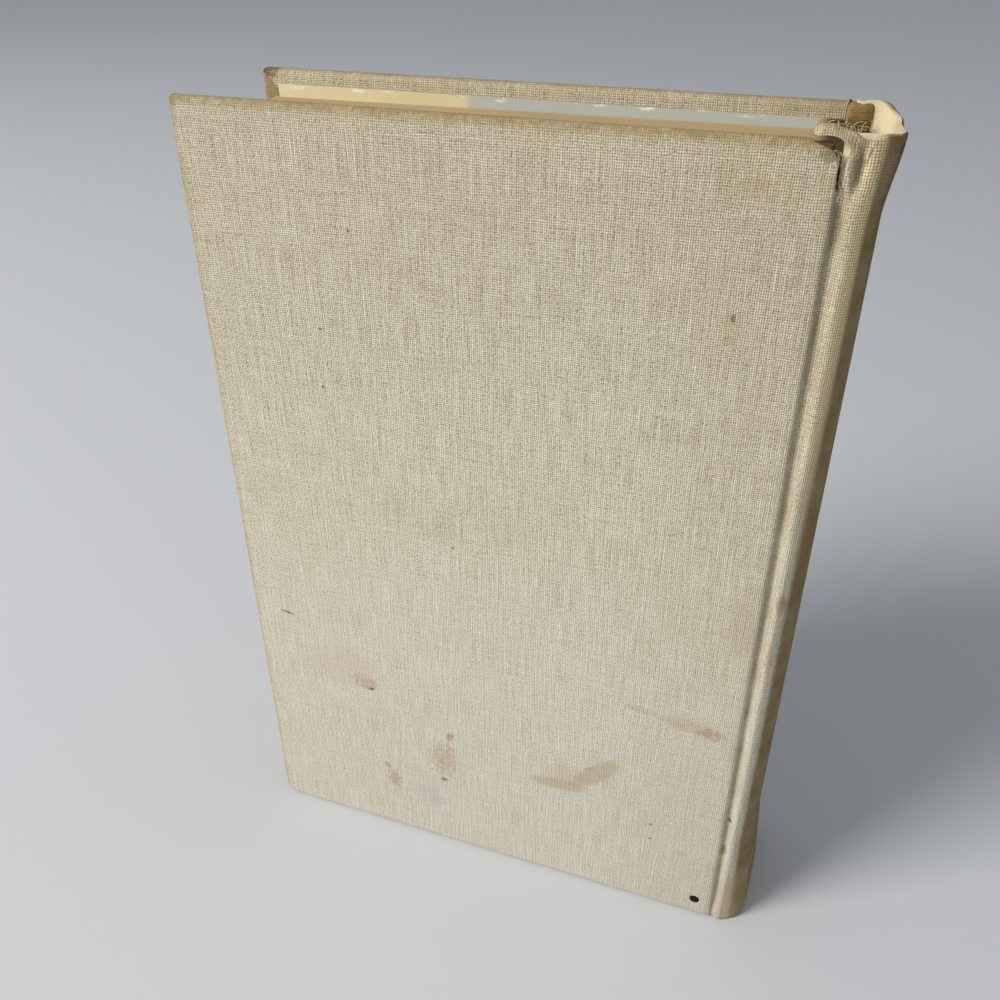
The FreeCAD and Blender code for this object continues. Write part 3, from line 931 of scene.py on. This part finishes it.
def lifted_flap(skin):
    """A curled patch from its tip over the board to its root on the spine's cloth."""
    points = np.zeros((flap_steps, flap_turns, 3))
    flat = np.zeros((flap_steps, flap_turns, 2))
    for row, s in enumerate(np.linspace(0, 1, flap_steps)):
        lip, top, front, depth, turn = (np.interp(s, *zip(*table)) for table in (
            flap_lip, flap_top, flap_front, flap_depth, flap_turn))
        for column, w in enumerate(np.linspace(0.0, 1.0, flap_turns)):
            angle = w * math.radians(turn)
            y = front + depth - depth * math.cos(angle)
            z = lip + (top - lip) * math.sin(min(angle, math.pi / 2 + (angle - math.pi / 2) * 0.5))
            x = flap_tip + (flap_root - flap_tip) * s + 0.25 * math.sin(angle * 2 + s * 5)
            rough = ripple(s * 14.0, w * 9.0, 21) * 0.2 + ripple(s * 40.0, w * 20.0, 8) * 0.06
            points[row, column] = (x_groove + x * mm, (y + rough) * mm, case_height + (z + rough) * mm)
            flat[row, column] = (x_groove - (flap_flat_x - x) * mm,
                                 case_height + (flap_flat_z + w * flap_flat_rise) * mm)
    skin.patch(points, flat, can_tear=False)


print("the flap is", flap_root - flap_tip, "mm long")

# %% The two linens
mirror_y = ((1, 0, 0, 0), (0, -1, 0, 0), (0, 0, 1, 0), (0, 0, 0, 1))
back_skin = cover_skin(False)
lifted_flap(back_skin)
back_mesh = back_skin.mesh("back_linen", torn_away, crumple)
back_linen = thicken(keep_piece("back_linen", back_mesh, back_finish), cloth)
front_mesh = cover_skin(True).mesh("front_linen", shift=as_front)
front_mesh.transform(mirror_y)
front_mesh.flip_normals()
front_linen = thicken(keep_piece("front_linen", front_mesh, front_finish), cloth)

# %% [markdown]
# Under the spine's cloth lies a strip of card. It is cream, and its inside shows through the open
# head of the spine, where it stands a little proud of the torn cloth. It could be a bent sheet of its
# own, but then it might cut through the cloth, so it follows the same plan line, set in by the
# cloth's thickness and a thin line of glue.

# %% Paper and card finishes
cream = colour(222, 209, 174)
tan = colour(186, 164, 124)
paper_pale = colour(222, 208, 172)
# Dark brown at the head of the joints: grime, and painted shadow under the torn flap.
joint_dirt_and_shade = colour(80, 60, 36)


def make_paper(name, base, darker, fibre=1400.0, depth=0.03, head=0.0):
    """Plain aged paper or card: soft clouds, specks and a little tooth; head darkens the end by the joint's
    head with grime and painted shadow.
    """
    material, shader, start = new_finish(name, 0.25)
    where = start.node("ShaderNodeTexCoord", output=3)
    x, _, z = where.parts()
    cloud = noise(where, 35.0, 3.0)
    tooth = noise(where, fibre, 3.0)
    tone = (cloud.ramp(0.35, 0.7) * 0.5 + (tooth - 0.5) * 0.5).clamp().tint(base, darker)
    soot_and_shade = z.ramp(case_height - 14 * mm, case_height - 2 * mm) * x.ramp(x_groove - 9 * mm, x_groove - 5 * mm)
    # By the joint at the head the board darkens: grime, and painted shadow under the torn flap.
    tone = (soot_and_shade * (tooth * 1.2 + 0.3) * head).clamp().tint(tone, linen_dark)
    finish_with(shader, tone, tooth * 0.2 + 0.75, tooth, depth * mm)
    return material


card_finish = make_paper("card_finish", cream, colour(190, 168, 122))
board_finish = make_paper("board_finish", colour(150, 128, 92), colour(112, 92, 62), 900.0, 0.12, 1.0)
lining_finish = make_paper("lining_finish", colour(196, 178, 138), colour(160, 138, 96))
thread_finish = make_paper("thread_finish", colour(196, 176, 132), colour(110, 84, 48), 600.0, 0.02)
print("four paper and card finishes")

# %% The spine's card
card = 0.9 * mm
glue_line = 0.05 * mm
card_half = 19.0 * mm
card_tail = 0.5 * mm
card_proud = 0.35 * mm
card_columns = 24
card_line = half_line - outward_normals(half_line) * (cloth + glue_line)
card_line = card_line[card_line[:, 1] > -card_half]
card_line = resample(card_line, np.linspace(0, along(card_line)[-1], card_columns))
card_line = np.concatenate([card_line, card_line[::-1][1:] * (1, -1)])
card_u = along(card_line)
card_top = case_height + torn_height(card_line[:, 1] / mm) * mm + card_proud
card_points, card_flat = [], []
for share in np.concatenate([np.linspace(0, 0.92, 40), np.linspace(0.92, 1, 24)[1:]]):
    z = card_tail + (card_top - card_tail) * share
    card_x = card_line[:, 0] + bulge_share(card_line[:, 0]) * bulge_at(z)
    card_points.append(np.stack([card_x, card_line[:, 1], z], 1))
    card_flat.append(np.stack([card_u, z], 1))
card_skin = Skin()
card_skin.patch(np.stack(card_points), np.stack(card_flat))
spine_card = keep_piece("spine_card", card_skin.mesh("spine_card", shift=crumple), card_finish)
thicken(spine_card, card)

# %% [markdown]
# The leaves are a stack: nearly two hundred thin sheets, each following the same rule. A sheet starts
# at the hollow fore edge, runs straight to the joint, swells out to the backed shoulder and ends on
# the rounded back. One block with lines drawn on it looks flat from the side, so Geometry Nodes lay a
# row of thin boxes across the book's thickness and bend each by that rule, with a little unevenness
# of its own.

# %% Paper of the leaves


def head_dirt_and_shade(x, z, crumbs):
    """Soot and glue at the head of the joints, with painted shadow under the torn flap: 1 at the spine's
    end, 0 over the leaves.
    """
    near_spine = x.ramp(x_groove - 7.5 * mm, x_groove - 4 * mm)
    near_head = z.ramp(leaves_high.z - 11 * mm, leaves_high.z - 3 * mm)
    return (near_spine * near_head * (crumbs * 1.2 + 0.5)).clamp()


def make_leaf_finish():
    """Pale paper, tan along its three open edges, with a fine line for each leaf."""
    material, shader, start = new_finish("leaf_finish", 0.2)
    where = start.node("ShaderNodeTexCoord", output=3)
    x, y, z = where.parts()
    lines = noise(vector(x * 40.0, y * 5200.0, z * 40.0), 1.0, 2.0)
    cloud = noise(where, 40.0, 3.0)
    head_rim = z.ramp(leaves_high.z - 3.5 * mm, leaves_high.z - 0.6 * mm)
    fore_rim = x.ramp(leaves_low.x + 5 * mm, leaves_low.x + 2 * mm)
    tone = head_rim.most(fore_rim).most(z.ramp(3 * mm, 1.2 * mm)).tint(paper_pale, tan)
    tone = ((lines - 0.3) * 0.7 + (cloud - 0.5) * 0.5).clamp().tint(tone, colour(140, 114, 74))
    # Grime at the head of the joint, and painted shadow under the torn flap.
    tone = head_dirt_and_shade(x, z, noise(where, 900.0, 3.0)).tint(tone, joint_dirt_and_shade)
    finish_with(shader, tone, lines * 0.15 + 0.8, lines, 0.05 * mm)
    return material


leaf_finish = make_leaf_finish()
print("leaf finish", len(leaf_finish.node_tree.nodes), "nodes")

# %% Helpers for Geometry Nodes


def new_tree(name, inputs):
    """A node tree with named inputs: a starting point for sums, and a value for each input."""
    tree = bpy.data.node_groups.new(name, "GeometryNodeTree")
    tree.interface.new_socket("Geometry", in_out="OUTPUT", socket_type="NodeSocketGeometry")
    for label, kind in inputs:
        tree.interface.new_socket(label, in_out="INPUT", socket_type="NodeSocket" + kind)
    start = Value(tree, None)
    group = start.node("NodeGroupInput")
    return tree, start, [group.also(number) for number in range(len(inputs))]


def end_tree(geometry, finish):
    """Paints the geometry and makes it the tree's result."""
    painted = geometry.node("GeometryNodeSetMaterial", {"Geometry": geometry, "Material": finish})
    output = geometry.tree.nodes.new("NodeGroupOutput")
    geometry.tree.links.new(painted.socket, output.inputs[0])


def grown(name, tree, values):
    """A piece made by a node tree, as a plain mesh. values gives the tree's named inputs."""
    piece = keep_piece(name, bpy.data.meshes.new(name))
    growth = piece.modifiers.new("growth", "NODES")
    growth.node_group = tree
    for item in tree.interface.items_tree:
        if item.in_out == "INPUT":
            growth[item.identifier] = values[item.name]
    as_plain_mesh(piece)
    report(piece)
    return piece


print("trees end in Set Material and are turned into plain meshes")

# %% The stack of leaves
leaf_count = 190
leaf_thick = 0.162 * mm
block_thick_half = 16.6 * mm
block_half = block_thick_half - leaf_thick / 2
shoulder_swell = leaves_high.y / block_thick_half - 1
fore_hollow = 2.4 * mm
flare_x = x_groove - 2.2 * mm
shoulder_x = x_groove + 2.4 * mm
crown = leaves_high.x - shoulder_x
leaf_slope = 0.9 / 147.1
head_fall = 0.9 * mm


def leaf_tree():
    """Node tree that lays out and bends the leaves."""
    tree, start, (count, thick, half, uneven) = new_tree("leaf_stack", (
        ("Leaves", "Int"), ("Thickness", "Float"), ("Half width", "Float"), ("Unevenness", "Float")))
    row = start.node("GeometryNodeMeshLine", {
        "Count": count, "Start Location": vector(0.0, -half, 0.0),
        "Offset": vector(0.0, half * 2.0 / (count - 1.0), 0.0)}, mode="OFFSET")
    sheet = start.node("GeometryNodeMeshCube", {"Size": (1.0, 1.0, 1.0), "Vertices X": 14,
                                                "Vertices Y": 2, "Vertices Z": 2})
    laid = start.node("GeometryNodeInstanceOnPoints", {"Points": row, "Instance": sheet,
                                                       "Scale": vector(1.0, thick, 1.0)})
    number = start.node("GeometryNodeInputIndex")
    marked = start.node("GeometryNodeStoreNamedAttribute", {
        "Geometry": laid, "Name": "leaf", "Value": number}, data_type="INT", domain="INSTANCE")
    real = start.node("GeometryNodeRealizeInstances", {"Geometry": marked})
    leaf = start.node("GeometryNodeInputNamedAttribute", {"Name": "leaf"}, data_type="INT")

    def chance(seed):
        """A number of -1 to 1 for each leaf."""
        return start.node("FunctionNodeRandomValue", {2: -1.0, 3: 1.0, "Seed": seed, "ID": leaf}, 1,
                          data_type="FLOAT")

    x, y, z = start.node("GeometryNodeInputPosition").parts()
    share = 1.0 - (0.5 - x).maths("POWER", 2.2)
    rounding = 1.0 - (y / half) * (y / half)
    fore = rounding * fore_hollow + leaves_low.x + chance(1) * uneven
    back = rounding * crown + shoulder_x
    new_x = fore + share * (back - fore)
    flare = ((new_x - flare_x) / (shoulder_x - flare_x)).clamp()
    new_y = y * (flare * flare * shoulder_swell + 1.0)
    low_z = (new_x - leaves_low.x) * leaf_slope + leaves_low.z
    height = leaves_high.z - leaves_low.z - head_fall
    new_z = low_z + (z + 0.5) * height + z * chance(2) * uneven
    bent = start.node("GeometryNodeSetPosition", {"Geometry": real, "Position": vector(new_x, new_y, new_z)})
    end_tree(bent, leaf_finish)
    return tree


leaves = grown("leaves", leaf_tree(), {"Leaves": leaf_count, "Thickness": leaf_thick,
                                       "Half width": block_half, "Unevenness": 0.1 * mm})

# %% [markdown]
# The endpapers are coloured paper: a pale yellow field and a pale blue grey field meet at a soft
# line, and their head edges have worn to white flecks. The solid sheets have the right form, so they
# only get this finish, and so do the board, the gauze and the paper lining inside the case.

# %% Endpaper and gauze finishes
field_edge = -21 * mm
yellow_field = colour(212, 200, 160)
blue_field = colour(178, 180, 172)
worn_white = colour(230, 226, 214)


def make_endpaper(name):
    """Coloured endpaper with a tan stripe at the fold and a worn head edge."""
    material, shader, start = new_finish(name, 0.3)
    where = start.node("ShaderNodeTexCoord", output=3)
    x, _, z = where.parts()
    tooth = noise(where, 1500.0, 3.0)
    cloud = noise(where, 25.0, 3.0)
    wave = (noise(where, 60.0, 2.0) - 0.5) * 6 * mm
    tone = (x + wave).ramp(field_edge - 1 * mm, field_edge + 1 * mm).tint(yellow_field, blue_field)
    tone = (x + wave * 0.4).ramp(x_groove - 8 * mm, x_groove - 7 * mm).tint(tone, tan)
    tone = (cloud.ramp(0.4, 0.75) * 0.35).tint(tone, tan)
    flecks = noise(vector(x * 160.0, 0.0, z * 700.0), 1.0, 3.0).ramp(0.58, 0.66)
    worn = (z + (noise(where, 500.0, 3.0) - 0.5) * 3 * mm).ramp(paste_high.z - 1.1 * mm, paste_high.z)
    tone = (worn * flecks).tint(tone, worn_white)
    # Grime at the head of the joint, and painted shadow under the torn flap.
    tone = head_dirt_and_shade(x, z, tooth).tint(tone, joint_dirt_and_shade)
    finish_with(shader, tone, tooth * 0.2 + 0.6, tooth * 0.5 + cloud, 0.05 * mm)
    return material


def make_mull_finish():
    """Open, sized gauze."""
    material, shader, start = new_finish("mull_finish", 0.2)
    x, y, z = start.node("ShaderNodeTexCoord", output=3).parts()
    grid = ((x + y) * 3600.0).maths("SINE").most((z * 3600.0).maths("SINE"))
    tone = grid.ramp(0.2, 0.9).tint(colour(150, 130, 92), colour(214, 200, 164))
    finish_with(shader, tone, grid * 0.05 + 0.85, grid, 0.1 * mm)
    return material


endpaper_finish = make_endpaper("endpaper_finish")
mull_finish = make_mull_finish()
solid_finishes = {"pastedown": endpaper_finish, "flyleaf": endpaper_finish, "board": board_finish,
                  "mull_flange": mull_finish, "mull": mull_finish, "spine_lining": lining_finish}
finished = 0
for node_name, node in frame["nodes"].items():
    plain_name = node_name.replace("back_", "").replace("front_", "")
    if plain_name in solid_finishes:
        node.data.materials.clear()
        node.data.materials.append(solid_finishes[plain_name])
        finished += 1
print(finished, "solid sheets finished")

# %% [markdown]
# Each endpaper is one folded sheet: half is pasted to the board and half lies free on the leaves. The
# solids stop short of the fold, and a cover that swings open would show a gap there. A narrow strip
# of the same paper closes it. It is a skin of its own.

# %% Hinge strips of the endpapers
strip_thick = 0.12 * mm
strip_lap, strip_gap = 0.3 * mm, 0.08 * mm
strip_head = 0.6 * mm
strip_bends = [(-0.9 * mm, 17.35 * mm), (0.2 * mm, 17.75 * mm), (1.1 * mm, 18.15 * mm)]
strip_columns, strip_rows = 16, 60


def hinge_strip(name, side):
    """The fold of the endpaper across the joint, from the board's end to the leaves' shoulder."""
    way = [(paste_high.x - strip_lap, -paste_low.y - strip_gap)]
    way = np.array(way + [(x_groove + x, y) for x, y in strip_bends])
    line = resample(way, np.linspace(0, along(way)[-1], strip_columns))
    heights = np.linspace(paste_low.z, leaves_high.z - strip_head, strip_rows)
    points = [np.stack([line[:, 0], line[:, 1], np.full(strip_columns, z)], 1) for z in heights]
    flat = [np.stack([line[:, 0], np.full(strip_columns, z)], 1) for z in heights]
    skin = Skin()
    skin.patch(np.stack(points) * (1, side, 1), np.stack(flat))
    return thicken(keep_piece(name, skin.mesh(name), endpaper_finish), strip_thick)


back_hinge_strip = hinge_strip("back_hinge_strip", -1)
front_hinge_strip = hinge_strip("front_hinge_strip", 1)

# %% [markdown]
# Cloth that tears leaves threads behind. Hair particles could do this too, but a node tree keeps the
# threads as real geometry: each is a short bent curve, scattered along the broken edge, turned and
# scaled by chance, and given a round section.

# %% Frayed threads


def fray_tree():
    """Node tree: bent threads along a line from Start, set apart by Step."""
    tree, start, (count, first, step, scatter, length, radius, lean, seed) = new_tree("fray", (
        ("Threads", "Int"), ("Start", "Vector"), ("Step", "Vector"), ("Scatter", "Vector"),
        ("Length", "Float"), ("Radius", "Float"), ("Lean", "Vector"), ("Seed", "Int")))

    def chance(low, high, extra):
        """A random vector or number for each thread."""
        if isinstance(low, tuple):
            return start.node("FunctionNodeRandomValue", {0: low, 1: high, "Seed": seed + extra},
                              data_type="FLOAT_VECTOR")
        return start.node("FunctionNodeRandomValue", {2: low, 3: high, "Seed": seed + extra}, 1,
                          data_type="FLOAT")

    row = start.node("GeometryNodeMeshLine", {"Count": count, "Start Location": first, "Offset": step},
                     mode="OFFSET")
    shift = start.node("ShaderNodeVectorMath", (chance((-1, -1, -1), (1, 1, 1), 1), scatter),
                       operation="MULTIPLY")
    spread = start.node("GeometryNodeSetPosition", {"Geometry": row, "Offset": shift})
    bend = start.node("GeometryNodeCurveQuadraticBezier", {
        "Resolution": 9, "Start": (0, 0, 0), "Middle": (0.35, 0.25, 0.6), "End": (1.0, -0.1, 0.25)})
    turn = start.node("ShaderNodeVectorMath", (chance((-0.9, -0.9, -3.1), (0.9, 0.9, 3.1), 2), lean),
                      operation="ADD")
    sized = chance(0.35, 1.0, 3) * length
    laid = start.node("GeometryNodeInstanceOnPoints", {
        "Points": spread, "Instance": bend, "Rotation": turn, "Scale": vector(sized, sized, sized)})
    real = start.node("GeometryNodeRealizeInstances", {"Geometry": laid})
    ring = start.node("GeometryNodeCurvePrimitiveCircle", {"Resolution": 5, "Radius": radius})
    tubes = start.node("GeometryNodeCurveToMesh", {"Curve": real, "Profile Curve": ring, "Fill Caps": True})
    end_tree(tubes, thread_finish)
    return tree


fray = fray_tree()
joint_fray = grown("joint_fray", fray, {
    "Threads": 70, "Start": (x_groove - 6.5 * mm, 16.4 * mm, leaves_high.z - 0.2 * mm),
    "Step": (0.14 * mm, 0.01 * mm, 0.004 * mm), "Scatter": (0.4 * mm, 1.6 * mm, 0.5 * mm),
    "Length": 2.4 * mm, "Radius": 0.09 * mm, "Lean": (0.0, -0.3, 0.0), "Seed": 5})
tear_fray = grown("tear_fray", fray, {
    "Threads": 26, "Start": (x_groove - 0.4 * mm, -19.3 * mm, case_height - 9.0 * mm),
    "Step": (-0.05 * mm, 0.0, 0.3 * mm), "Scatter": (0.35 * mm, 0.3 * mm, 0.3 * mm),
    "Length": 1.5 * mm, "Radius": 0.07 * mm, "Lean": (0.0, 0.6, 0.0), "Seed": 9})

# %% [markdown]
# Room round the book: a pale table top, with soft light from a window on the left and a weak even
# light from all round. One large lamp gives the soft shadow of a window; a small one would cut it
# hard. None of this is part of the book.

# %% Table and light
table_reach, table_drop = 4.0, 0.1 * mm
table_finish, table_shader, _ = new_finish("table_finish", 0.4)
table_shader.inputs["Base Color"].default_value = colour(201, 203, 206)
table_shader.inputs["Roughness"].default_value = 0.5
table_mesh = bpy.data.meshes.new("table_top")
table_mesh.from_pydata([(x * table_reach, y * table_reach, -table_drop)
                        for x, y in ((-1, -1), (1, -1), (1, 1), (-1, 1))], [], [(0, 1, 2, 3)])
keep_piece("table_top", table_mesh, table_finish)
world = bpy.data.worlds.new("room_light")
bpy.context.scene.world = world
world.use_nodes = True
world.node_tree.nodes["Background"].inputs["Color"].default_value = (0.9, 0.95, 1.0, 1.0)
world.node_tree.nodes["Background"].inputs["Strength"].default_value = 0.4
lamp = bpy.data.lights.new("window_light", "AREA")
lamp.shape, lamp.size, lamp.energy, lamp.color = "DISK", 1.0, 51.0, (1.0, 0.98, 0.95)
window = bpy.data.objects.new("window_light", lamp)
window.location = (-1.3, -1.25, 1.35)
window.rotation_euler = (Vector((0, 0, 0.1)) - window.location).to_track_quat("-Z", "Y").to_euler()
bpy.context.scene.collection.objects.link(window)
bpy.context.scene.view_settings.view_transform = "Standard"
print("lamp of", lamp.energy, "watts")

# %% [markdown]
# Last, the leaves, the spine's card and the frayed threads are tied to the block of leaves that
# carries them. The two linens and the hinge strips keep their places baked into their points, and
# the solids that the new pieces stand in for are hidden.

# %% Carry and finish
for linen, strip, cover, side in ((back_linen, back_hinge_strip, "back_cover", -1),
                                  (front_linen, front_hinge_strip, "front_cover", 1)):
    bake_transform(linen)
    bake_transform(strip)
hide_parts("back_cloth", "spine_cloth")
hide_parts("front_cloth")
for piece, slot_name in ((leaves, "leaves"), (spine_card, "card"),
                         (joint_fray, "linen"), (tear_fray, "linen")):
    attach(piece, "block")
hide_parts("text_block")
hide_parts("spine_inlay")
